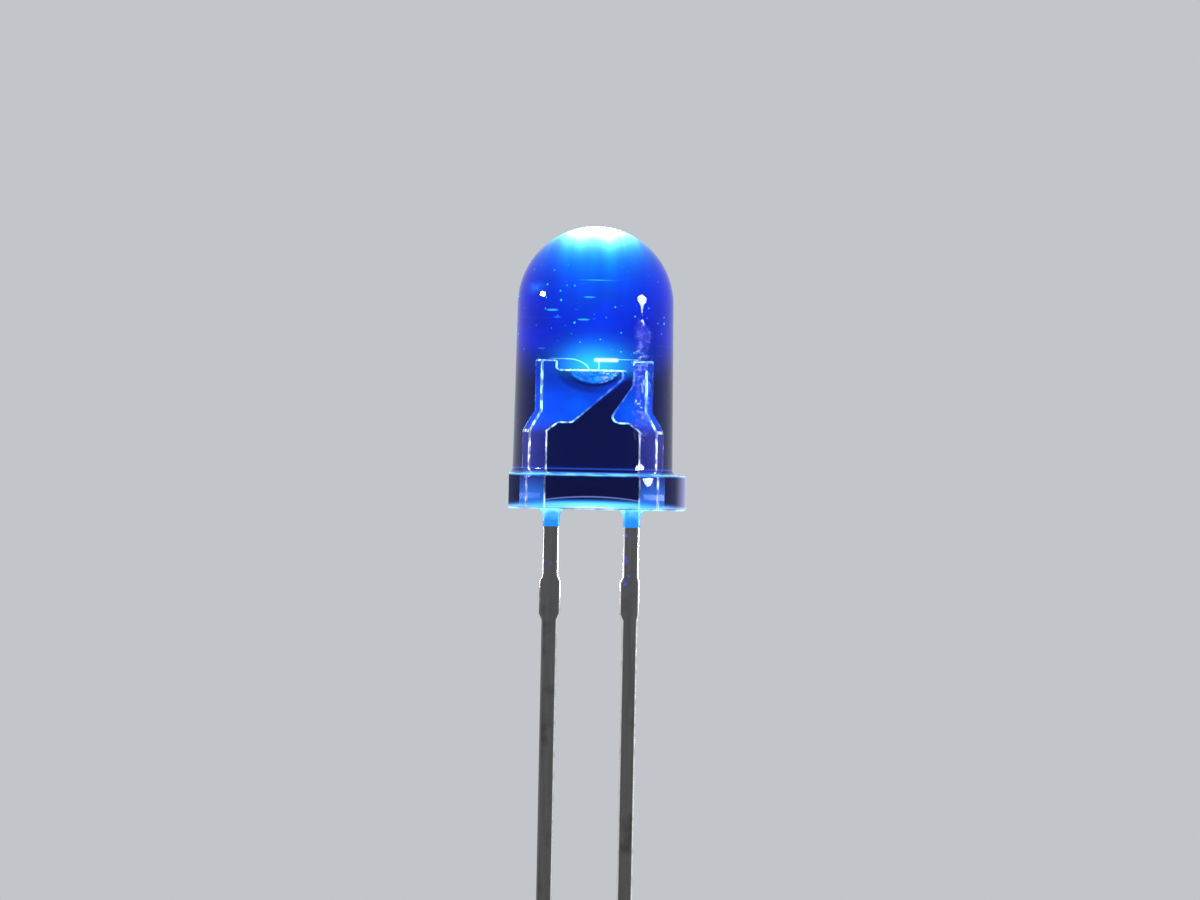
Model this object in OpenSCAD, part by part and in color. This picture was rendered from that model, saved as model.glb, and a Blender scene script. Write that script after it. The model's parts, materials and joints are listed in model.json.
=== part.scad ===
// Through hole LED: cast epoxy lens on a two-lead frame with a reflector cup.
// Millimetres. The origin is the centre of the seating plane under the flange, +Z points to the
// dome, and the cathode with the flange's flat is at -X.

/* [Lens] */
// Diameter of the dome, which is also the barrel's diameter at its top
dome_d = 4.94; // [4.7:0.02:5.2]
// Height of the dome's centre above the seating plane
dome_z = 6.48; // [6:0.02:7.4]
// Draft of the barrel's wall, in degrees on each side
draft = 0.7; // [0.3:0.1:1.2]
// Fillet between the barrel and the flange
neck_fillet = 0.18; // [0.1:0.01:0.24]
// Diameter of the flange
flange_d = 5.95; // [5.85:0.05:6.4]
// Thickness of the flange
flange_h = 1.1; // [0.8:0.05:1.5]
// Round on the flange's outer edges
flange_round = 0.08; // [0.04:0.01:0.15]
// Distance from the axis to the flat that marks the cathode
flat_x = 2.63; // [2.6:0.01:2.8]
// Width of the seating rim, from the flat to the dish
seat_rim = 0.3; // [0.2:0.02:0.5]
// Depth of the dished underside
dish_depth = 0.2; // [0.1:0.02:0.35]
// How far the epoxy creeps down each lead
creep_h = 0.56; // [0.46:0.02:0.9]
// Wall of the creep round the lead
creep_wall = 0.02; // [0.02:0.01:0.05]
// Radius at which the creep flares out into the dish
creep_flare = 0.5; // [0.4:0.02:0.54]

/* [Leads] */
// Distance between the centre lines of the leads
pitch = 2.54; // [2.4:0.02:2.7]
// Width of each lead
lead_w = 0.5; // [0.4:0.02:0.6]
// Thickness of the stamped strip
strip_t = 0.5; // [0.4:0.02:0.6]
// Length of the cathode's lead below the seating plane
cathode_len = 25.4; // [15:0.1:30]
// How much longer the anode's lead is
anode_extra = 1.3; // [1:0.1:3]
// Drop from the seating plane to the tie bar remnant
stub_drop = 2.1; // [1.5:0.05:4]
// Height of the tie bar remnant, with its slopes
stub_h = 1.42; // [0.8:0.02:2]
// How far the tie bar remnant stands out on each side
stub_proud = 0.09; // [0.04:0.01:0.15]
// How far it stands out on the anode's outer side, where it was cut closer
stub_trim = 0.04; // [0.02:0.01:0.15]
// Height of the slope at each end of the remnant
stub_slope = 0.2; // [0.1:0.02:0.3]

/* [Lead frame heads] */
// Width across both heads
head_w = 2.42; // [2.3:0.02:2.5]
// Height of the heads' tops above the seating plane
head_top_z = 4.7; // [4.5:0.02:5]
// Height of the heads' lower edges
web_z = 2.7; // [2.5:0.02:2.9]
// Height at which the outer shoulders start
shoulder_z = 2.45; // [2.2:0.02:2.6]
// Height of the outer shoulders
shoulder_h = 0.63; // [0.5:0.02:0.8]
// Drop of the slope from each head's lower edge to its post
crotch_drop = 0.26; // [0.16:0.02:0.4]
// Width of that slope
crotch_w = 0.25; // [0.16:0.01:0.34]
// Width of the ear that takes the cathode's wire
ear_w = 0.4; // [0.34:0.02:0.5]
// Height of the cup's lip
lip_z = 4.4; // [4.3:0.02:4.48]
// Distance from the axis to the cathode head's edge at the lip
tip_x = 0.65; // [0.64:0.01:0.7]
// Height of that edge
tip_h = 0.28; // [0.2:0.02:0.4]
// Distance from the axis to the slanted edge's foot, on the cathode's side
cathode_foot_x = 0.45; // [0.3:0.01:0.6]
// Gap between the two heads at the lip
head_gap = 0.21; // [0.16:0.01:0.24]
// Drop from the anode head's top to the knee of its slanted edge
knee_drop = 0.74; // [0.6:0.02:0.9]
// Distance from the axis to the slanted edge's foot, on the anode's side, before its nose is rounded
nose_x = 0.26; // [0.22:0.01:0.34]
// Radius of the anode head's nose
nose_r = 0.22; // [0.16:0.01:0.25]
// Radius at the foot of the cathode's slanted edge
foot_r = 0.2; // [0.1:0.01:0.25]
// Radius of the other corners of the heads
head_r = 0.07; // [0.04:0.01:0.1]

/* [Cup and die] */
// Radius of the ball that coins the cup's outer wall
bowl_r = 0.65; // [0.62:0.01:0.68]
// Height of that ball's centre above the lip
bowl_rise = 0.15; // [0.12:0.01:0.2]
// Depth of the cup
cup_depth = 0.34; // [0.26:0.02:0.4]
// Radius of the cup's mouth
mouth_r = 0.54; // [0.5:0.01:0.57]
// Radius of the cup's floor
floor_r = 0.3; // [0.26:0.01:0.34]
// Radius of the coined pad on the anode's head
pad_r = 0.31; // [0.29:0.01:0.34]
// Drop from the head's top to the centre of the ball that coins the pad
pad_drop = 0.23; // [0.2:0.01:0.26]
// How far the pad may stand out of the head's inner edge
pad_proud = 0.03; // [0.02:0.01:0.05]
// Side of the square die
die_w = 0.3; // [0.24:0.02:0.34]
// Thickness of the die
die_t = 0.1; // [0.08:0.01:0.14]
// Radius of the adhesive pad under the die
attach_r = 0.25; // [0.24:0.01:0.26]
// Thickness of the adhesive pad
attach_t = 0.02; // [0.01:0.01:0.04]

/* [Bond wires] */
// Diameter of the bond wires
wire_d = 0.032; // [0.024:0.002:0.04]
// Distance of each wire's first bond from the axis
bond_x = 0.09; // [0.06:0.01:0.1]
// Radius of the ball at the wire's first bond
ball_r = 0.04; // [0.032:0.002:0.05]
// Height of the wires' loops above the heads' tops
loop_rise = 0.036; // [0.03:0.002:0.08]
// Straight length of the cathode's wire above its ball, before its one wide bend
wire_neck = 0.06; // [0.04:0.01:0.12]
// Radius of the anode wire's bend at the top of its loop
anode_bend = 0.1; // [0.08:0.02:0.3]
// Distance of the wire's second bond from the inner edge of the ear or pad
land_in = 0.14; // [0.1:0.01:0.18]

/* [Hidden] */
// True curves, drawn finely enough for a preview
$fn = 96;
// Straight steps along each rounded corner of a stamped outline
corner_steps = 6;
// Sides of the wires' section, and steps along each of their bends
wire_sides = 8;
bend_steps = 6;
// How far cutters reach past the faces that they cut
over = 1;
// How far the neck's fillet sinks into the barrel, so that the two cross cleanly
fillet_sink = 0.01;
dome_r = dome_d / 2;
flange_r = flange_d / 2;
barrel_r = dome_r + (dome_z - flange_h) * tan(draft);
fillet_x = barrel_r + neck_fillet - fillet_sink;
dish_r = flat_x - seat_rim;
dish_ball_r = (dish_r * dish_r + dish_depth * dish_depth) / (2 * dish_depth);
creep_foot_w = creep_flare * 2 + creep_wall * 2;
creep_flare_z = dish_depth - creep_flare;
anode_len = cathode_len + anode_extra;
lead_x = pitch / 2;
head_x = head_w / 2;
ear_x = head_x - ear_w;
crotch_x = lead_x - lead_w / 2 - crotch_w;
anode_x = tip_x + head_gap;
pad_x = (anode_x + head_x) / 2;
pad_z = head_top_z - pad_drop;
floor_z = lip_z - cup_depth;
die_z = floor_z + attach_t;
bond_z = die_z + die_t;
wire_r = wire_d / 2;
loop_z = head_top_z + loop_rise;
ball_z = bond_z + ball_r;
cathode_bend = loop_z - ball_z - wire_neck;

// Corner b of an outline, rounded to radius r between its neighbours a and c
function corner(a, b, c, r) =
    let (
        u = (a - b) / norm(a - b),
        v = (c - b) / norm(c - b),
        half = acos(u * v) / 2,
        centre = b + (u + v) / norm(u + v) * r / sin(half),
        first = b + u * r / tan(half) - centre,
        last = b + v * r / tan(half) - centre,
        start = atan2(first.y, first.x),
        sweep = atan2(first.x * last.y - first.y * last.x, first * last)
    )
    [for (i = [0:corner_steps])
        let (angle = start + sweep * i / corner_steps)
        centre + r * [cos(angle), sin(angle)]];

// An outline from a list of [x, z] points and [x, z, radius] rounded corners
function outline(spots) =
    let (
        count = len(spots),
        flat = [for (s = spots) [s[0], s[1]]]
    )
    [for (i = [0:count - 1])
        let (
            before = flat[(i + count - 1) % count],
            after = flat[(i + 1) % count]
        )
        each len(spots[i]) < 3 ? [flat[i]] : corner(before, flat[i], after, spots[i][2])];

// The post and lead below a head: down the inner edge to the tip, and up the outer edge
function tail(side, length, outer_proud) =
    let (
        inner = side * (lead_x - lead_w / 2),
        outer = side * (lead_x + lead_w / 2),
        inner_stub = inner - side * stub_proud,
        outer_stub = outer + side * outer_proud,
        top = -stub_drop,
        bottom = -stub_drop - stub_h
    )
    [
        [inner, web_z - crotch_drop],
        [inner, top],
        [inner_stub, top - stub_slope],
        [inner_stub, bottom + stub_slope],
        [inner, bottom],
        [inner, -length],
        [outer, -length],
        [outer, bottom],
        [outer_stub, bottom + stub_slope],
        [outer_stub, top - stub_slope],
        [outer, top],
        [outer, shoulder_z]
    ];

// Cathode: tail, shoulder, ear, trough beside the ear, lip, tip, slanted edge and web
function cathode_outline() = outline(concat(tail(-1, cathode_len, stub_proud), [
    [-head_x, shoulder_z + shoulder_h],
    [-head_x, head_top_z],
    [-ear_x, head_top_z],
    [-ear_x, lip_z, head_r],
    [tip_x, lip_z],
    [tip_x, lip_z - tip_h, head_r],
    [-cathode_foot_x, web_z, foot_r],
    [-crotch_x, web_z, head_r]
]));

// Anode: tail, shoulder, top, knee, slanted edge, nose and web
function anode_outline() = outline(concat(tail(1, anode_len, stub_trim), [
    [head_x, shoulder_z + shoulder_h],
    [head_x, head_top_z],
    [anode_x, head_top_z, head_r],
    [anode_x, head_top_z - knee_drop, head_r],
    [nose_x, web_z, nose_r],
    [crotch_x, web_z, head_r]
]));

// An outline in the XZ plane, as a plate of the strip's thickness
module strip(points) {
    rotate([90, 0, 0])
        linear_extrude(strip_t, center = true)
            polygon(points);
}

// Half section of the lens about its axis, before the flat is cut
module lens_section() {
    difference() {
        union() {
            flange_section();
            neck_section();
            polygon([[0, flange_h / 2], [barrel_r, flange_h], [dome_r, dome_z], [0, dome_z]]);
            intersection() {
                translate([0, dome_z])
                    circle(dome_r);
                translate([0, dome_z])
                    square(dome_r + over);
            }
        }
        translate([0, dish_depth - dish_ball_r])
            circle(dish_ball_r);
    }
}

// Half section of the flange, with its rounded edges
module flange_section() {
    difference() {
        square([flange_r, flange_h]);
        for (edge = [0, 1])
            translate([flange_r - flange_round, edge ? flange_h - flange_round : flange_round])
                difference() {
                    translate([0, edge ? 0 : -over])
                        square([over, over]);
                    circle(flange_round);
                }
    }
}

// Half section of the fillet at the foot of the barrel
module neck_section() {
    difference() {
        translate([0, flange_h / 2])
            square([fillet_x, flange_h / 2 + neck_fillet]);
        translate([fillet_x, flange_h + neck_fillet])
            circle(neck_fillet);
    }
}

// Flank of the epoxy that creeps down a lead, seen along the side of the lead that is this wide
module creep_section(width) {
    half = width / 2 + creep_wall;
    translate([-half, -creep_h])
        square([half * 2, creep_h + dish_depth]);
    difference() {
        translate([-half - creep_flare, creep_flare_z])
            square([(half + creep_flare) * 2, creep_flare]);
        for (side = [-1, 1])
            translate([side * (half + creep_flare), creep_flare_z])
                circle(creep_flare);
    }
}

// Epoxy that creeps down one lead, flared the same way on all four sides
module creep() {
    intersection() {
        rotate([90, 0, 0])
            linear_extrude(creep_foot_w + strip_t, center = true)
                creep_section(lead_w);
        rotate([90, 0, 90])
            linear_extrude(creep_foot_w + lead_w, center = true)
                creep_section(strip_t);
    }
}

// A wire through points in the XZ plane, with a radius at each point
module wire(points, radii) {
    last = len(points) - 1;
    rings = [for (i = [0:last])
        let (
            ahead = points[min(i + 1, last)] - points[max(i - 1, 0)],
            across = [ahead.y, -ahead.x] / norm(ahead)
        )
        for (k = [0:wire_sides - 1])
            let (
                angle = 360 * (k + 0.5) / wire_sides,
                spot = points[i] + across * radii[i] * cos(angle)
            )
            [spot.x, radii[i] * sin(angle), spot.y]];
    walls = [for (i = [0:last - 1], k = [0:wire_sides - 1])
        let (
            next = (k + 1) % wire_sides,
            low = i * wire_sides,
            high = low + wire_sides
        )
        each [
            [low + k, high + k, high + next],
            [low + k, high + next, low + next]
        ]];
    start = [for (k = [0:wire_sides - 1]) k];
    finish = [for (k = [wire_sides - 1:-1:0]) last * wire_sides + k];
    polyhedron(rings, concat([start], walls, [finish]));
}

// A bond wire on one side: up from its ball on the die, over the lip and down to its second bond
module bond_wire(side, rise_r, land_x) {
    fall_r = loop_rise - wire_r / 2;
    rise_x = side * bond_x;
    fall_x = side * land_x;
    ball = [
        [rise_x, bond_z],
        [rise_x, bond_z + ball_r / 2],
        [rise_x, ball_z]
    ];
    rise = [for (i = [0:bend_steps])
        let (angle = 90 * i / bend_steps)
        [rise_x + side * rise_r * (1 - cos(angle)), loop_z - rise_r * (1 - sin(angle))]];
    fall = [for (i = [0:bend_steps])
        let (angle = 90 * i / bend_steps)
        [fall_x - side * fall_r * (1 - sin(angle)), loop_z - fall_r * (1 - cos(angle))]];
    foot = [[fall_x, head_top_z]];
    path = concat(ball, rise, fall, foot);
    radii = [for (i = [0:len(path) - 1]) i < 2 ? ball_r : wire_r];
    wire(path, radii);
}

// All the metal, die and wires that the epoxy is cast round
module inserts() {
    cathode_lead();
    anode_lead();
    die_attach();
    die();
    cathode_wire();
    anode_wire();
}

// Cast epoxy body: dome, barrel, flange with its flat, dish, and creep on the leads
module lens() {
    color([0.08, 0.3, 1, 0.5])
        difference() {
            union() {
                difference() {
                    rotate_extrude()
                        lens_section();
                    translate([-flat_x - over, -flange_d, -over])
                        cube([over, flange_d * 2, flange_h + over * 2]);
                }
                for (side = [-1, 1])
                    translate([side * lead_x, 0, 0])
                        creep();
            }
            inserts();
        }
}

// Stamped cathode: shorter lead, ear and reflector cup
module cathode_lead() {
    color([0.72, 0.76, 0.85])
        difference() {
            union() {
                strip(cathode_outline());
                intersection() {
                    translate([0, 0, lip_z + bowl_rise])
                        sphere(bowl_r);
                    translate([-over, -over, lip_z - over])
                        cube([over * 2, over * 2, over]);
                }
            }
            translate([0, 0, floor_z])
                cylinder(cup_depth, floor_r, mouth_r);
        }
}

// Stamped anode: longer lead, and the coined pad that takes its wire
module anode_lead() {
    color([0.72, 0.76, 0.85]) {
        strip(anode_outline());
        intersection() {
            translate([pad_x, 0, pad_z])
                sphere(pad_r);
            translate([anode_x - pad_proud, -over, head_top_z - over])
                cube([head_x - anode_x + pad_proud, over * 2, over]);
        }
    }
}

// Light emitting chip
module die() {
    color([0.35, 0.6, 1])
        translate([-die_w / 2, -die_w / 2, die_z])
            cube([die_w, die_w, die_t]);
}

// Adhesive between the chip and the cup's floor
module die_attach() {
    color([0.75, 0.75, 0.78])
        translate([0, 0, floor_z])
            cylinder(attach_t, attach_r, attach_r);
}

// Bond wire from the chip to the ear
module cathode_wire() {
    color([0.85, 0.68, 0.3])
        bond_wire(-1, cathode_bend, ear_x + land_in);
}

// Bond wire from the chip to the anode's pad
module anode_wire() {
    color([0.85, 0.68, 0.3])
        bond_wire(1, anode_bend, anode_x + land_in);
}

lens();
cathode_lead();
anode_lead();
die();
die_attach();
cathode_wire();
anode_wire();
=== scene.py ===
"""Lit blue through hole LED on a pale studio floor, seen level and from the front."""

import json
import math

import bmesh
import bpy
from mathutils import Matrix, Vector


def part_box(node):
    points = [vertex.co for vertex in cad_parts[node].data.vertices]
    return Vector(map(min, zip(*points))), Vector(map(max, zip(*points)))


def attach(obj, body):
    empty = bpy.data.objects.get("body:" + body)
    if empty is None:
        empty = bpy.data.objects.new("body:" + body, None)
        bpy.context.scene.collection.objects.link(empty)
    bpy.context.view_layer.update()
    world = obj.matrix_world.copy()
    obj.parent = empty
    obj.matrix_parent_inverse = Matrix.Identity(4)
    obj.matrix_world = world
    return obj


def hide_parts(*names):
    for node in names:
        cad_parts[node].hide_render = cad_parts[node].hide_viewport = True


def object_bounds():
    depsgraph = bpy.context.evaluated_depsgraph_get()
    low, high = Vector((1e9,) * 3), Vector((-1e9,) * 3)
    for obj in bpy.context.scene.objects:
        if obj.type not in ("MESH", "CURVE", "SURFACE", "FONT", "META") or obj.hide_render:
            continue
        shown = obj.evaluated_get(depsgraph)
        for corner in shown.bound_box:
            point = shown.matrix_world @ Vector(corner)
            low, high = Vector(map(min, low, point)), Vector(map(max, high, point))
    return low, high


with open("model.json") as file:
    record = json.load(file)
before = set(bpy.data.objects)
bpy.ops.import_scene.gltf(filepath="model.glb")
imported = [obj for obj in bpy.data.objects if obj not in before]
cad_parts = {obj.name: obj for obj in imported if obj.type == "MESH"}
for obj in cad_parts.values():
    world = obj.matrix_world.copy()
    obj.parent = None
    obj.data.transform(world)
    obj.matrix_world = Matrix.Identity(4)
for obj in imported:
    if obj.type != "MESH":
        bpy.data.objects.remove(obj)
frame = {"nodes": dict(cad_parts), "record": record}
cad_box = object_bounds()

MM = 0.001

# Photograph: its frame, its scale at the LED's axis, and where the seating plane's centre falls
PHOTO_W, PHOTO_H = 1200, 900
PIXELS_PER_MM = 31.6
SEAT_PIXEL = (591.7, 509.3)
CAMERA_ROLL = math.radians(1.12)
CAMERA_DISTANCE = 320 * MM
CAMERA_NEAR = 10 * MM
SENSOR_W = 36.0

# Lens, in millimetres, as the solid has it
mounts = {mount["name"]: mount for mount in frame["record"]["mounts"]}
FLANGE_R = mounts["flange_rim"]["dims"]["r_mm"]
FLANGE_H = mounts["flange_shoulder"]["pos_m"][2] / MM
FLAT_X = -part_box("lens")[0].x / MM
TIP_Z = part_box("lens")[1].z / MM
DOME_R = 2.47
DOME_Z = TIP_Z - DOME_R
DRAFT = math.radians(0.7)
NECK_FILLET = 0.18
FLANGE_ROUND = 0.08
SEAT_RIM = 0.3
DISH_DEPTH = 0.2
DISH_R = FLAT_X - SEAT_RIM
DISH_BALL_R = (DISH_R ** 2 + DISH_DEPTH ** 2) / (2 * DISH_DEPTH)
LENS_SIDES = 192
ARC_STEPS = 12
LENS_CREASE = math.radians(35)

# Creep of epoxy down each lead: its toe is drawn in, and its top sinks into the dished underside
PITCH = 2.54
CREEP_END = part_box("lens")[0].z / MM
CREEP_HALF = 0.27
CREEP_FLARE = 0.5
CREEP_CORNER = 0.06
CREEP_TOE_H = 0.03
CREEP_TOE_IN = 0.015
CREEP_TOP = DISH_DEPTH - 0.01
CREEP_STEPS = 16
CORNER_STEPS = 3

# Epoxy: colours of its tint and of its gloss, and what it absorbs per metre
EPOXY_IOR = 1.53
EPOXY_TINTS = (0.10, 0.17, 0.95, 1), (0.14, 0.23, 1.0, 1)
EPOXY_GLOSS = (0.22, 0.28, 1.0, 1)
ABSORB_COLOUR = (0.0, 0.2, 0.5, 1)
ABSORB_DENSITY = 1000
VOLUME_STEP = 0.12

# Leads, in millimetres: rounded edges, and the limits for merging points and clearing slivers
LEAD_BEVEL = 0.05
BEVEL_STEPS = 4
BEVEL_ANGLE = math.radians(25)
SMOOTH_ANGLE = math.radians(30)
FLAT_ANGLE = math.radians(1)
MERGE_GAP = 0.0005
SLIVER = 0.002

# Heights and radii on the lead frame: the posts end and the heads begin, the cup's lip, the coined bowl
POST_END, HEAD_START = 2.3, 2.9
LIP_Z = 4.4
BOWL_R = 0.65
BOWL_Z = LIP_Z + 0.15
STRIP_HALF = 0.25
WIRE_Z = 4.71

# Ball that coins the anode's wire pad: the rounded edges stop short of it
PAD_CENTRE = Vector((1.03, 0, 4.47))
PAD_REACH = 0.32
PAD_CLEAR = 0.06

# Stage, in metres
FLOOR_R = 4.0
FLOOR_SIDES = 96
FLOOR_FADE = (0.05, 0.22)
FLOOR_COLOURS = (0.55, 0.565, 0.59, 1), (0.59, 0.605, 0.63, 1)
FLOOR_ROUGHNESS = 0.9
PALE = (0.54, 0.56, 0.59, 1)
FILL_LIGHT = 0.62

# Lamps: name, place and size in metres, power in watts, and the shape of the area.
# The low rectangles draw the pale lines on the leads' edges.
LAMPS = (
    ("right_soft", (0.478, -0.148, 0.068), (0.15, 0.09), 2.2, "ELLIPSE"),
    ("left_soft", (-0.499, -0.03, 0.097), (0.105, 0.056), 1.0, "ELLIPSE"),
    ("right_low", (0.50, -0.06, -0.0155), (0.30, 0.019), 0.16, "RECTANGLE"),
    ("left_low", (-0.50, -0.06, -0.0155), (0.30, 0.019), 0.06, "RECTANGLE"),
    ("back_soft", (0.0, 0.42, 0.48), (0.28, 0.25), 1.7, "ELLIPSE"),
)


class Signal:
    """A number that a node tree works out at each point of a surface or a volume."""

    def __init__(self, nodes, socket):
        self.nodes = nodes
        self.socket = socket

    def __add__(self, other):
        return self.nodes.math("ADD", self, other)

    def __sub__(self, other):
        return self.nodes.math("SUBTRACT", self, other)

    def __mul__(self, other):
        return self.nodes.math("MULTIPLY", self, other)

    def __truediv__(self, other):
        return self.nodes.math("DIVIDE", self, other)

    def exp(self):
        return self.nodes.math("EXPONENT", self)

    def size(self):
        return self.nodes.math("ABSOLUTE", self)

    def rest(self, share=1.0):
        """What a share of this signal leaves of 1."""
        return self * -share + 1.0

    def bell(self, middle, width):
        """1 at middle, falling away as a bell curve."""
        off = (self - middle) / width
        return (off * off * -1.0).exp()

    def ramp(self, start, end, at_start=0.0, at_end=1.0):
        """A smooth change from one number to another between start and end."""
        node = self.nodes.add("ShaderNodeMapRange", interpolation_type="SMOOTHSTEP")
        self.nodes.put(node.inputs["Value"], self)
        node.inputs["From Min"].default_value = start
        node.inputs["From Max"].default_value = end
        node.inputs["To Min"].default_value = at_start
        node.inputs["To Max"].default_value = at_end
        return Signal(self.nodes, node.outputs["Result"])


class Nodes:
    """Short ways to build one node tree."""

    def __init__(self, tree):
        self.tree = tree

    def add(self, kind, **settings):
        node = self.tree.nodes.new(kind)
        for name, value in settings.items():
            setattr(node, name, value)
        return node

    def put(self, socket, value):
        """Link a signal or a socket to an input, or set the input to a plain value."""
        if isinstance(value, Signal):
            value = value.socket
        if isinstance(value, bpy.types.NodeSocket):
            self.tree.links.new(value, socket)
        else:
            socket.default_value = value

    def math(self, operation, *values):
        node = self.add("ShaderNodeMath", operation=operation)
        for socket, value in zip(node.inputs, values):
            self.put(socket, value)
        return Signal(self, node.outputs[0])

    def mix(self, factor, a, b):
        node = self.add("ShaderNodeMix", data_type="RGBA")
        self.put(node.inputs["Factor"], factor)
        self.put(node.inputs["A"], a)
        self.put(node.inputs["B"], b)
        return node.outputs["Result"]

    def blend(self, factor, a, b):
        """A shader between two others."""
        node = self.add("ShaderNodeMixShader")
        self.put(node.inputs[0], factor)
        self.put(node.inputs[1], a.outputs[0])
        self.put(node.inputs[2], b.outputs[0])
        return node

    def glow(self, *parts):
        """The sum of parts, each a colour and the signal that it is multiplied by."""
        total = None
        for colour, signal in parts:
            scaled = self.add("ShaderNodeVectorMath", operation="SCALE")
            self.put(scaled.inputs[0], colour)
            self.put(scaled.inputs["Scale"], signal)
            if total is None:
                total = scaled.outputs["Vector"]
                continue
            both = self.add("ShaderNodeVectorMath", operation="ADD")
            self.put(both.inputs[0], total)
            self.put(both.inputs[1], scaled.outputs["Vector"])
            total = both.outputs["Vector"]
        return total

    def scaled(self, stretch):
        """Coordinates in millimetres, times a stretch along each axis."""
        node = self.add("ShaderNodeVectorMath", operation="MULTIPLY")
        self.put(node.inputs[0], self.add("ShaderNodeTexCoord").outputs["Object"])
        node.inputs[1].default_value = tuple(s / MM for s in stretch)
        return node.outputs["Vector"]

    def parts(self, vector):
        node = self.add("ShaderNodeSeparateXYZ")
        self.put(node.inputs[0], vector)
        return [Signal(self, socket) for socket in node.outputs]

    def place(self):
        """The point in millimetres: x, y, z and the distance r from the LED's axis."""
        x, y, z = self.parts(self.scaled((1, 1, 1)))
        return x, y, z, self.math("SQRT", x * x + y * y)

    def normal(self):
        return self.parts(self.add("ShaderNodeNewGeometry").outputs["Normal"])

    def noise(self, per_mm, detail, stretch=(1, 1, 1)):
        node = self.add("ShaderNodeTexNoise")
        self.put(node.inputs["Vector"], self.scaled(stretch))
        node.inputs["Scale"].default_value = per_mm
        node.inputs["Detail"].default_value = detail
        return Signal(self, node.outputs["Fac"])

    def flecks(self, per_mm, size, stretch=(1, 1, 1)):
        """Scattered specks: 1 inside a speck, 0 outside."""
        cells = self.add("ShaderNodeTexVoronoi")
        self.put(cells.inputs["Vector"], self.scaled(stretch))
        cells.inputs["Scale"].default_value = per_mm
        chance = self.add("ShaderNodeSeparateColor")
        self.put(chance.inputs[0], cells.outputs["Color"])
        reach = Signal(self, chance.outputs[0]) * size
        return (reach - Signal(self, cells.outputs["Distance"])).ramp(0.0, 0.3 * size)

    def bump(self, height, strength, depth):
        node = self.add("ShaderNodeBump")
        node.inputs["Strength"].default_value = strength
        node.inputs["Distance"].default_value = depth * MM
        self.put(node.inputs["Height"], height)
        return node.outputs["Normal"]


def new_material(name):
    """A material, the builder of its nodes, and its surface shader."""
    material = bpy.data.materials.new(name)
    material.use_nodes = True
    return material, Nodes(material.node_tree), material.node_tree.nodes["Principled BSDF"]


def output(material):
    return material.node_tree.nodes["Material Output"]


def send_out(nodes, shader, light, strength=1.0):
    """Give a surface shader the light that it sends out itself."""
    nodes.put(shader.inputs["Emission Color"], light)
    shader.inputs["Emission Strength"].default_value = strength


def lens_light(nodes):
    """Painted light on the lens's skin, standing in for the die's light: tip, flange, creep, and glints
    on specks and scratches.
    """
    x, y, z, r = nodes.place()
    aside = x.size()
    sparkle = nodes.noise(1.6, 2).ramp(0.36, 0.64, 0.25, 1.4)
    clusters = nodes.noise(1.1, 2).ramp(0.36, 0.48)
    dome = z.ramp(4.6, 5.0) * z.ramp(8.0, 7.0)
    left = z.ramp(4.9, 5.3) * z.ramp(7.3, 6.6) * x.ramp(0.6, -0.4)

    tip = r.bell(0, 1.0) * z.ramp(DOME_Z, TIP_Z)
    shoulder = z.bell(FLANGE_H, 0.035) * sparkle
    neck = z.bell(FLANGE_H + NECK_FILLET, 0.025)
    flange_ends = aside.ramp(2.6, FLANGE_R) * z.ramp(FLANGE_H + 0.05, FLANGE_H - 0.05)
    seat = z.bell(0.0, 0.06) * sparkle
    seat_middle = z.bell(0.07, 0.06) * x.bell(0, 0.8)
    seat_ends = z.bell(0.04, 0.07) * aside.ramp(1.6, 2.3)
    creep = z.ramp(0.06, -0.1)
    creep_root = creep * z.ramp(-0.4, -0.1) * sparkle
    # Painted glints on specks in the dome.
    specks = nodes.flecks(4.6, 0.19) * dome * clusters
    # Painted reflection: a pale blue patch on the dome's left, beside the left lamp's highlight.
    painted_reflection_patch = x.bell(-1.85, 0.2) * z.bell(6.95, 0.16) * y.ramp(0.0, -0.5) * sparkle
    # Painted glints on dashes on the dome's left and on a scratch line.
    glint_dashes = nodes.flecks(4.0, 0.26, (0.2, 0.2, 1.3)) * left
    scratch_glint = z.bell(7.215, 0.014) * x.bell(0.05, 0.4) * y.ramp(0.5, 0.0)
    return nodes.glow(
        ((0.35, 0.80, 1.0), tip),
        ((0.14, 0.55, 1.0), shoulder),
        ((0.02, 0.06, 0.45), neck),
        ((0.22, 0.21, 0.46), flange_ends),
        ((0.20, 0.70, 0.9), seat),
        ((0.50, 0.25, 0.0), seat_middle),
        ((0.22, 0.18, 0.30), seat_ends),
        ((0.01, 0.26, 0.85), creep),
        ((0.16, 0.46, 0.2), creep_root),
        ((0.03, 0.65, 1.1), specks),
        ((0.01, 0.10, 0.30), painted_reflection_patch),
        ((0.02, 0.45, 1.0), glint_dashes),
        ((0.02, 0.5, 1.0), scratch_glint),
    )


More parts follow.
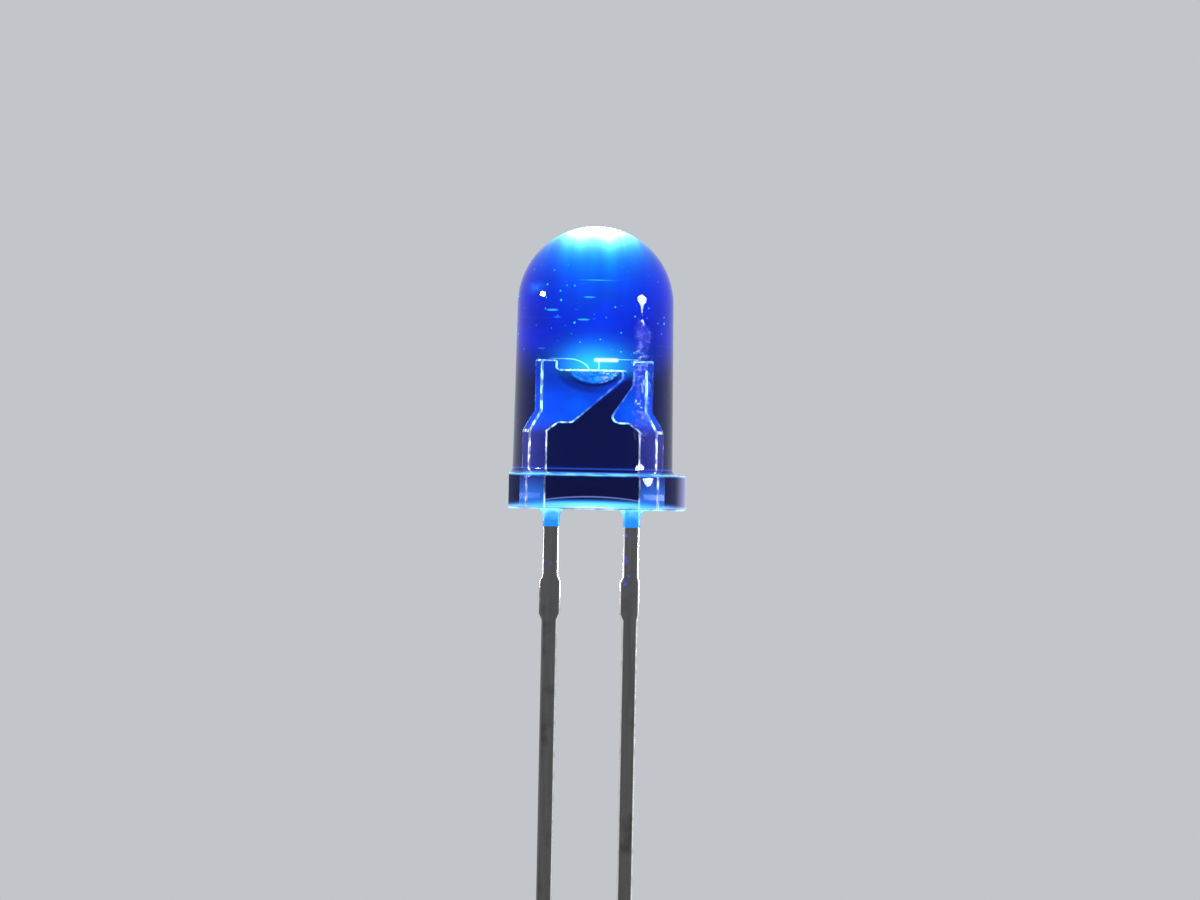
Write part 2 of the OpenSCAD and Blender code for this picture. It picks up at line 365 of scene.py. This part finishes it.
def lens_glow(nodes):
    """Painted glow inside the epoxy, per metre, standing in for the die's light: in the dome, over the
    cup, along the wire and in the foot.
    """
    x, y, z, r = nodes.place()
    rays = nodes.noise(2.6, 2, (1, 1, 0.12)).ramp(0.36, 0.64, 0.3, 1.8)
    cloud = nodes.noise(0.8, 2).ramp(0.36, 0.64, 0.6, 1.4)
    over_dish = z + r * r / (2 * DISH_BALL_R) - DISH_DEPTH
    over_arch = z + x * x * 0.1 - 0.42

    lit = (z - r * 0.5).ramp(3.0, 4.9) * cloud
    core = lit * r.bell(0, 1.1)
    beam = z.bell(LIP_Z + 0.1, 0.6) * r.bell(0, 0.6) * z.ramp(4.0, 4.5)
    wire = z.bell(WIRE_Z, 0.045) * y.bell(0, 0.06) * x.ramp(-0.04, 0.04) * x.ramp(0.52, 0.44)
    crown = ((z - 7.7) / 0.5).exp() * rays * r.bell(0, 0.9)
    spot = z.bell(TIP_Z - 0.35, 0.47) * r.bell(0, 0.6) * rays
    foot = over_dish.bell(0.04, 0.07) * r.bell(0, 1.5)
    arch = over_arch.bell(0, 0.016) * y.bell(0, 0.35) * x.bell(0, 1.2)
    return nodes.glow(
        ((0, 8, 300), lit),
        ((0, 110, 300), core),
        ((840, 10000, 7000), beam),
        ((400000, 270000, 60000), wire),
        ((30, 2700, 1500), crown),
        ((30000, 33000, 33000), spot),
        ((3000, 9000, 6500), foot),
        ((16000, 9500, 5000), arch),
    )


def epoxy_material():
    """Blue epoxy with a worn streak, and a painted glow in it that stands in for the die's light."""
    material, nodes, shader = new_material("epoxy")
    x, y, z, _ = nodes.place()
    cloud = nodes.noise(0.9, 2)
    nodes.put(shader.inputs["Base Color"], nodes.mix(cloud, *EPOXY_TINTS))
    shader.inputs["Transmission Weight"].default_value = 1.0
    shader.inputs["IOR"].default_value = EPOXY_IOR
    shader.inputs["Specular Tint"].default_value = EPOXY_GLOSS

    streak = x.bell(1.5, 0.25) * z.ramp(2.0, 2.8) * z.ramp(6.1, 5.6) * y.ramp(0.0, -0.5)
    worn = nodes.noise(8.0, 3).ramp(0.53, 0.61) * streak
    scuffs = nodes.noise(5.2, 4, (1, 1, 0.35)).ramp(0.5, 0.8, 0.0, 0.1)
    nodes.put(shader.inputs["Roughness"], scuffs + worn * 0.16)
    ripple = nodes.noise(10.0, 3) * (worn * 2.0 + 0.07)
    nodes.put(shader.inputs["Normal"], nodes.bump(ripple, 0.3, 0.01))
    send_out(nodes, shader, lens_light(nodes))

    absorb = nodes.add("ShaderNodeVolumeAbsorption")
    absorb.inputs["Color"].default_value = ABSORB_COLOUR
    absorb.inputs["Density"].default_value = ABSORB_DENSITY
    light = nodes.add("ShaderNodeEmission")
    nodes.put(light.inputs["Color"], lens_glow(nodes))
    both = nodes.add("ShaderNodeAddShader")
    nodes.put(both.inputs[0], absorb.outputs[0])
    nodes.put(both.inputs[1], light.outputs[0])
    nodes.put(output(material).inputs["Volume"], both.outputs[0])
    material.cycles.volume_step_rate = VOLUME_STEP
    return material


def face_light(nodes):
    """Painted light on the strip's faces, standing in for the die's light: heads, bowl and posts inside
    the epoxy, with painted shade round the bowl, and painted glints below it.
    """
    x, y, z, r = nodes.place()
    up = nodes.normal()[2]
    thick = y.size()
    mottle = nodes.noise(1.2, 2).ramp(0.3, 0.7, 0.85, 1.15)
    glints = nodes.noise(7.0, 3).ramp(0.4, 0.75, 0.6, 2.0)
    ragged = nodes.noise(12.0, 2).ramp(0.46, 0.54)

    ball = nodes.math("SQRT", r * r + (z - BOWL_Z) * (z - BOWL_Z))
    bowl = ball.ramp(BOWL_R + 0.02, BOWL_R) * thick.ramp(STRIP_HALF, STRIP_HALF + 0.03)
    # Painted shade: dark in the crease round the bowl.
    crease = ball.bell(BOWL_R + 0.03, 0.05) * thick.ramp(STRIP_HALF + 0.12, STRIP_HALF + 0.02)
    # Painted pink glints in the bowl, on its right.
    pink_glints = nodes.noise(12.0, 2).ramp(0.5, 0.62) * bowl * x.ramp(0.05, 0.3)
    # Painted shade on the lower left of the coined ring.
    coined = ball.ramp(BOWL_R + 0.02, BOWL_R + 0.08) * ball.ramp(BOWL_R + 0.33, BOWL_R + 0.2)
    shade = coined * x.ramp(0.4, -0.1)
    # The heads' painted light, less in the bowl and darkened by the painted shade.
    flat = bowl.rest() * shade.rest(0.5) * crease.rest(0.9)
    # Dark spots in the painted light on the cathode's shoulder.
    spots = nodes.flecks(7.0, 0.7) * x.bell(-1.13, 0.14) * z.bell(2.55, 0.14)

    head = z.ramp(POST_END, HEAD_START) * mottle * spots.rest() * flat
    # Painted patches of light on the heads.
    patches = z.bell(3.2, 0.5) * (x.bell(-0.35, 0.4) + x.bell(0.75, 0.2))
    # Painted light on the posts, brighter at their foot in the flange.
    post = z.ramp(-0.1, 0.4) * z.ramp(3.0, 2.4) * mottle
    post_foot = z.ramp(-0.1, 0.1) * z.ramp(FLANGE_H, 0.3)
    # Painted light in the cup, brighter where it faces up.
    cup = r.ramp(0.75, 0.4) * up.ramp(0.1, 0.5) * z.ramp(3.9, 4.1)
    # Painted blue reflections of the LED's light on the leads below the epoxy.
    blue_glints = nodes.flecks(3.6, 0.5, (1, 1, 0.7)) * ragged * z.ramp(-4.2, -3.4) * z.ramp(-0.6, -0.9)
    return nodes.glow(
        ((0.0, 0.65, 2.4), head * z.ramp(4.6, 3.0, 0.5, 1.15)),
        ((0.0, 0.55, 0.6), head * patches),
        ((0.2, 2.4, 3.2), bowl * crease.rest() * glints),
        ((8.0, 4.5, 2.0), pink_glints),
        ((0.35, 0.25, 0.6), post),
        ((0.3, 2.0, 1.8), post_foot),
        ((4.0, 8.0, 4.0), cup),
        ((0.01, 0.03, 0.65), blue_glints),
    )


def face_material():
    """Plated strip with rolling lines and stains, coloured dark as painted shade, with painted blue
    light where it stands inside the epoxy.
    """
    material, nodes, shader = new_material("plated_face_painted_light")
    lines = nodes.noise(9.0, 3, (1, 1, 0.05))
    stain = nodes.noise(0.9, 4)
    # Painted shade: the faces are coloured much darker than the bright plating on the edges, with the
    # rolling lines and stains on top.
    rolled = nodes.mix(lines, (0.10, 0.098, 0.095, 1), (0.19, 0.187, 0.183, 1))
    stained = nodes.mix(stain.ramp(0.52, 0.75), rolled, (0.07, 0.064, 0.057, 1))
    nodes.put(shader.inputs["Base Color"], stained)
    shader.inputs["Metallic"].default_value = 1.0
    nodes.put(shader.inputs["Roughness"], stain.ramp(0.3, 0.8, 0.16, 0.4))
    nodes.put(shader.inputs["Normal"], nodes.bump(lines, 0.3, 0.01))
    send_out(nodes, shader, face_light(nodes))
    return material


def edge_material():
    """Nicked edges of the strip, coloured bright as a painted highlight, with painted glints of the
    die's light inside the epoxy.
    """
    material, nodes, shader = new_material("plated_edge_painted_highlight")
    x, _, z, r = nodes.place()
    nicks_and_glints = nodes.noise(8.0, 2, (1, 1, 0.4))
    # Painted highlight: the edges' base colour is bright, broken by the nicks.
    bright = nodes.mix(nicks_and_glints.ramp(0.35, 0.5), (0.82, 0.78, 0.72, 1), (1.0, 0.97, 0.93, 1))
    # Painted shade: the cathode's left-facing edges below the epoxy are coloured dark.
    painted_shade_left = nodes.normal()[0].ramp(0.2, -0.2) * z.ramp(-0.3, -0.6) * x.ramp(0.2, -0.2)
    nodes.put(shader.inputs["Base Color"], nodes.mix(painted_shade_left, bright, (0.22, 0.216, 0.21, 1)))
    shader.inputs["Metallic"].default_value = 1.0
    nodes.put(shader.inputs["Roughness"], nicks_and_glints.ramp(0.3, 0.7, 0.12, 0.2))

    # Painted shade: the slanted edges between the heads are dimmer than the rest.
    sparkle = nicks_and_glints.ramp(0.4, 0.75, 0.3, 3.2)
    top = z - x.ramp(0.55, 0.7) * 0.15
    inner = x.ramp(-0.5, -0.3) * x.ramp(0.98, 0.9) * z.ramp(2.85, 3.05) * top.ramp(4.36, 4.26)
    catches = sparkle * inner.rest(0.88)
    head = z.ramp(POST_END, HEAD_START) * catches
    post = z.ramp(0.0, 0.3) * z.ramp(HEAD_START, POST_END, 0.6, 1.0) * catches
    lip = z.bell(LIP_Z, 0.06) * r.ramp(0.75, 0.6)
    # Painted glints on the heads' and posts' edges, and a painted highlight along the lip.
    light = nodes.glow(
        ((3.5, 6.5, 2.8), head),
        ((7.0, 4.4, 1.6), post),
        ((0.0, 0.6, 1.4), inner),
        ((7.0, 9.0, 4.0), lip),
    )
    send_out(nodes, shader, light)
    return material


def die_material():
    """Lit chip, unevenly bright."""
    material, nodes, shader = new_material("lit_chip")
    patch = nodes.noise(9.0, 1)
    colour = nodes.mix(patch, (0.2, 0.5, 1.0, 1), (0.6, 0.85, 1.0, 1))
    nodes.put(shader.inputs["Base Color"], colour)
    send_out(nodes, shader, colour, 12.0)
    return material


def adhesive_material():
    """Silver filled paste."""
    material, nodes, shader = new_material("silver_paste")
    flakes = nodes.noise(16.0, 2)
    nodes.put(shader.inputs["Base Color"], nodes.mix(flakes, (0.5, 0.5, 0.52, 1), (0.8, 0.8, 0.82, 1)))
    nodes.put(shader.inputs["Roughness"], flakes.ramp(0.3, 0.7, 0.3, 0.7))
    shader.inputs["Metallic"].default_value = 0.6
    return material


def gold_material():
    """Fine drawn gold wire, with a painted glow near the die."""
    material, nodes, shader = new_material("gold_wire")
    *_, r = nodes.place()
    drawn = nodes.noise(12.0, 2)
    nodes.put(shader.inputs["Base Color"], nodes.mix(drawn, (0.8, 0.55, 0.2, 1), (0.95, 0.75, 0.4, 1)))
    nodes.put(shader.inputs["Roughness"], drawn.ramp(0.3, 0.7, 0.15, 0.3))
    shader.inputs["Metallic"].default_value = 1.0
    send_out(nodes, shader, nodes.glow(((12, 16, 5), r.bell(0.2, 0.5))))
    return material


def floor_material():
    """Pale floor that takes shadow near the LED and meets the background further off."""
    material, nodes, shader = new_material("pale_floor")
    *_, r = nodes.place()
    grain = nodes.noise(0.04, 2)
    nodes.put(shader.inputs["Base Color"], nodes.mix(grain, *FLOOR_COLOURS))
    shader.inputs["Roughness"].default_value = FLOOR_ROUGHNESS
    far = nodes.add("ShaderNodeEmission")
    far.inputs["Color"].default_value = PALE
    mixed = nodes.blend((r * MM).ramp(*FLOOR_FADE), shader, far)
    nodes.put(output(material).inputs["Surface"], mixed.outputs[0])
    return material


def link(name, data):
    """A new object in the scene."""
    thing = bpy.data.objects.new(name, data)
    bpy.context.scene.collection.objects.link(thing)
    return thing


def mesh_from(bm, name):
    mesh = bpy.data.meshes.new(name)
    bm.to_mesh(mesh)
    bm.free()
    return mesh


def arc(centre, radius, start, end, steps):
    """Points of (radius from the axis, height) along an arc, in degrees."""
    points = []
    for i in range(steps + 1):
        angle = math.radians(start + (end - start) * i / steps)
        points.append((centre[0] + radius * math.cos(angle), centre[1] + radius * math.sin(angle)))
    return points


def lens_profile():
    """The lens's half section from the dish's middle, out round the flange and up to the tip."""
    dish_reach = math.degrees(math.asin(DISH_R / DISH_BALL_R))
    barrel_r = DOME_R + (DOME_Z - FLANGE_H) * math.tan(DRAFT)
    edge = FLANGE_R - FLANGE_ROUND
    few = ARC_STEPS // 2
    dish = arc((0, DISH_DEPTH - DISH_BALL_R), DISH_BALL_R, 90, 90 - dish_reach, 2 * ARC_STEPS)
    lower = arc((edge, FLANGE_ROUND), FLANGE_ROUND, -90, 0, few)
    upper = arc((edge, FLANGE_H - FLANGE_ROUND), FLANGE_ROUND, 0, 90, few)
    neck_top = FLANGE_H + NECK_FILLET
    neck = arc((barrel_r + NECK_FILLET, neck_top), NECK_FILLET, 270, 180, few)
    barrel = []
    for i in range(1, 2 * ARC_STEPS):
        z = neck_top + (DOME_Z - neck_top) * i / (2 * ARC_STEPS)
        barrel.append((barrel_r - (z - FLANGE_H) * math.tan(DRAFT), z))
    dome = arc((0, DOME_Z), DOME_R, 0, 90, 4 * ARC_STEPS)
    return dish + lower + upper + neck + barrel + dome


def revolve(bm, profile, sides):
    """A closed surface of revolution about Z from a profile whose ends are on the axis."""
    turns = [2 * math.pi * i / sides for i in range(sides)]
    rings = []
    for radius, height in profile[1:-1]:
        ring = [Vector((radius * math.cos(t), radius * math.sin(t), height)) * MM for t in turns]
        rings.append([bm.verts.new(point) for point in ring])
    first = bm.verts.new((0, 0, profile[0][1] * MM))
    last = bm.verts.new((0, 0, profile[-1][1] * MM))
    for i in range(sides):
        j = (i + 1) % sides
        bm.faces.new((first, rings[0][j], rings[0][i]))
        bm.faces.new((last, rings[-1][i], rings[-1][j]))
    bridge(bm, rings)


def bridge(bm, rings):
    """Faces between each ring of points and the next."""
    count = len(rings[0])
    for low, high in zip(rings, rings[1:]):
        for i in range(count):
            j = (i + 1) % count
            bm.faces.new((low[i], low[j], high[j], high[i]))


def creep_half(z):
    """Half width of the creep on a lead at height z, flaring into the dished underside."""
    start = DISH_DEPTH - CREEP_FLARE
    if z <= start:
        return CREEP_HALF
    return CREEP_HALF + CREEP_FLARE - math.sqrt(max(0.0, CREEP_FLARE ** 2 - (z - start) ** 2))


def rounded_square(half, corner):
    """Points round a square with rounded corners."""
    points = []
    inset = half - corner
    for quarter, (across, along) in enumerate(((1, 1), (-1, 1), (-1, -1), (1, -1))):
        middle = Vector((across * inset, along * inset))
        for step in range(CORNER_STEPS + 1):
            angle = math.radians(90 * quarter + 90 / CORNER_STEPS * step)
            points.append(middle + Vector((math.cos(angle), math.sin(angle))) * corner)
    return points


def creep_mesh(centre_x):
    """A closed sleeve of epoxy round one lead."""
    bm = bmesh.new()
    low = CREEP_END + CREEP_TOE_H
    sections = [(CREEP_END, CREEP_HALF - CREEP_TOE_IN)]
    for i in range(CREEP_STEPS + 1):
        z = low + (CREEP_TOP - low) * i / CREEP_STEPS
        sections.append((z, creep_half(z)))
    rings = []
    for z, half in sections:
        outline = rounded_square(half, CREEP_CORNER)
        rings.append([bm.verts.new(Vector((centre_x + p.x, p.y, z)) * MM) for p in outline])
    bridge(bm, rings)
    bm.faces.new(list(reversed(rings[0])))
    bm.faces.new(rings[-1])
    return mesh_from(bm, "creep")


def join(piece, mesh):
    """Unite a closed mesh with a piece into one skin."""
    tool = link("tool", mesh)
    union = piece.modifiers.new("union", "BOOLEAN")
    union.operation = "UNION"
    union.solver = "EXACT"
    union.object = tool
    bpy.context.view_layer.objects.active = piece
    bpy.ops.object.modifier_apply(modifier="union")
    bpy.data.objects.remove(tool)


def make_lens():
    """The epoxy body as one smooth skin, cut flat on the cathode's side, with its creep."""
    bm = bmesh.new()
    revolve(bm, lens_profile(), LENS_SIDES)
    everything = bm.verts[:] + bm.edges[:] + bm.faces[:]
    flat = {"plane_co": (-FLAT_X * MM, 0, 0), "plane_no": (-1, 0, 0)}
    cut = bmesh.ops.bisect_plane(bm, geom=everything, clear_outer=True, **flat)
    rim = [e for e in cut["geom_cut"] if isinstance(e, bmesh.types.BMEdge)]
    cap = bmesh.ops.contextual_create(bm, geom=rim)["faces"]
    bmesh.ops.poke(bm, faces=cap)
    bmesh.ops.recalc_face_normals(bm, faces=bm.faces[:])
    lens = link("lens_skin", mesh_from(bm, "lens_skin"))
    for side in (-1, 1):
        join(lens, creep_mesh(side * PITCH / 2))
    lens.data.shade_smooth()
    lens.data.set_sharp_from_angle(angle=LENS_CREASE)
    lens.data.materials.clear()
    lens.data.materials.append(epoxy_material())
    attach(lens, "root")
    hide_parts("lens")


def on_pad(vert):
    return (vert.co / MM - PAD_CENTRE).length < PAD_REACH


def stop_short_of_pad(bm):
    """Split each edge that runs into the pad, and give the edges that stay clear of it."""
    for edge in bm.edges[:]:
        touching = [v for v in edge.verts if on_pad(v)]
        length = edge.calc_length() / MM
        if len(touching) == 1 and length > 2 * PAD_CLEAR:
            bmesh.utils.edge_split(edge, touching[0], PAD_CLEAR / length)
    return [e for e in bm.edges if not any(on_pad(v) for v in e.verts)]


def make_lead(node, face, edge):
    """A CAD lead with its outer edges rounded and given the bright edge colour of a painted highlight.
    """
    mesh = frame["nodes"][node].data.copy()
    mesh.materials.clear()
    mesh.materials.append(face)
    mesh.materials.append(edge)
    bm = bmesh.new()
    bm.from_mesh(mesh)
    for f in bm.faces:
        f.material_index = 0
    bmesh.ops.remove_doubles(bm, verts=bm.verts[:], dist=MERGE_GAP * MM)
    bmesh.ops.dissolve_limit(bm, angle_limit=FLAT_ANGLE, verts=bm.verts[:], edges=bm.edges[:])
    clear = stop_short_of_pad(bm)
    outer = [e for e in clear if e.is_manifold and e.calc_face_angle_signed(0) > BEVEL_ANGLE]
    bmesh.ops.bevel(
        bm,
        geom=outer,
        offset=LEAD_BEVEL * MM,
        offset_type="OFFSET",
        segments=BEVEL_STEPS,
        profile=0.5,
        affect="EDGES",
        clamp_overlap=False,
        material=1,
    )
    bmesh.ops.dissolve_degenerate(bm, dist=SLIVER * MM, edges=bm.edges[:])
    bm.to_mesh(mesh)
    bm.free()
    mesh.shade_smooth()
    mesh.set_sharp_from_angle(angle=SMOOTH_ANGLE)
    lead = link(node + "_stamped", mesh)
    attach(lead, "root")
    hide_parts(node)


def dress(node, material):
    """A CAD node that keeps its own shape, with its finished material."""
    mesh = frame["nodes"][node].data
    mesh.materials.clear()
    mesh.materials.append(material)


def make_floor():
    """A round floor under the longer lead's end."""
    bm = bmesh.new()
    bmesh.ops.create_circle(bm, cap_ends=True, segments=FLOOR_SIDES, radius=FLOOR_R)
    floor = link("floor", mesh_from(bm, "floor"))
    floor.location.z = cad_box[0][2]
    floor.data.materials.append(floor_material())


def make_world():
    """Pale all round, with less light in it than it shows."""
    world = bpy.data.worlds.new("studio")
    bpy.context.scene.world = world
    world.use_nodes = True
    nodes = Nodes(world.node_tree)
    seen = world.node_tree.nodes["Background"]
    seen.inputs["Color"].default_value = PALE
    fill = nodes.add("ShaderNodeBackground")
    fill.inputs["Color"].default_value = PALE
    fill.inputs["Strength"].default_value = FILL_LIGHT
    path = nodes.add("ShaderNodeLightPath")
    shows = path.outputs["Is Camera Ray"]
    for ray in ("Is Glossy Ray", "Is Transmission Ray"):
        shows = nodes.math("MAXIMUM", shows, path.outputs[ray])
    mixed = nodes.blend(shows, fill, seen)
    nodes.put(world.node_tree.nodes["World Output"].inputs["Surface"], mixed.outputs[0])


def lamp(name, place, size, power, shape):
    """A soft area lamp that faces the LED. A rectangle would show its outline through the epoxy."""
    data = bpy.data.lights.new(name, "AREA")
    data.shape = shape
    data.size, data.size_y = size
    data.energy = power
    light = link(name, data)
    light.location = place
    light.visible_transmission = shape != "RECTANGLE"
    light.rotation_euler = (-Vector(place)).to_track_quat("-Z", "Y").to_euler()


def make_camera():
    """Level camera, framed as the photograph is and rolled as it is."""
    data = bpy.data.cameras.new("camera")
    data.sensor_width = SENSOR_W
    data.lens = SENSOR_W * CAMERA_DISTANCE / (PHOTO_W / PIXELS_PER_MM * MM)
    data.clip_start = CAMERA_NEAR
    camera = link("camera", data)
    # Offset of the image's middle from the seating plane's centre, in the rolled picture
    right = (PHOTO_W / 2 - SEAT_PIXEL[0]) / PIXELS_PER_MM * MM
    up = (SEAT_PIXEL[1] - PHOTO_H / 2) / PIXELS_PER_MM * MM
    face = Matrix.Rotation(math.radians(90), 4, "X") @ Matrix.Rotation(CAMERA_ROLL, 4, "Z")
    middle = face @ Vector((right, up, 0))
    camera.matrix_world = Matrix.Translation(middle + Vector((0, -CAMERA_DISTANCE, 0))) @ face
    bpy.context.scene.camera = camera


make_camera()
make_floor()
make_world()
for row in LAMPS:
    lamp(*row)

make_lens()
face_metal, edge_metal = face_material(), edge_material()
make_lead("cathode_lead", face_metal, edge_metal)
make_lead("anode_lead", face_metal, edge_metal)
dress("die", die_material())
dress("die_attach", adhesive_material())
gold = gold_material()
dress("cathode_wire", gold)
dress("anode_wire", gold)

bpy.context.scene.view_settings.view_transform = "Standard"
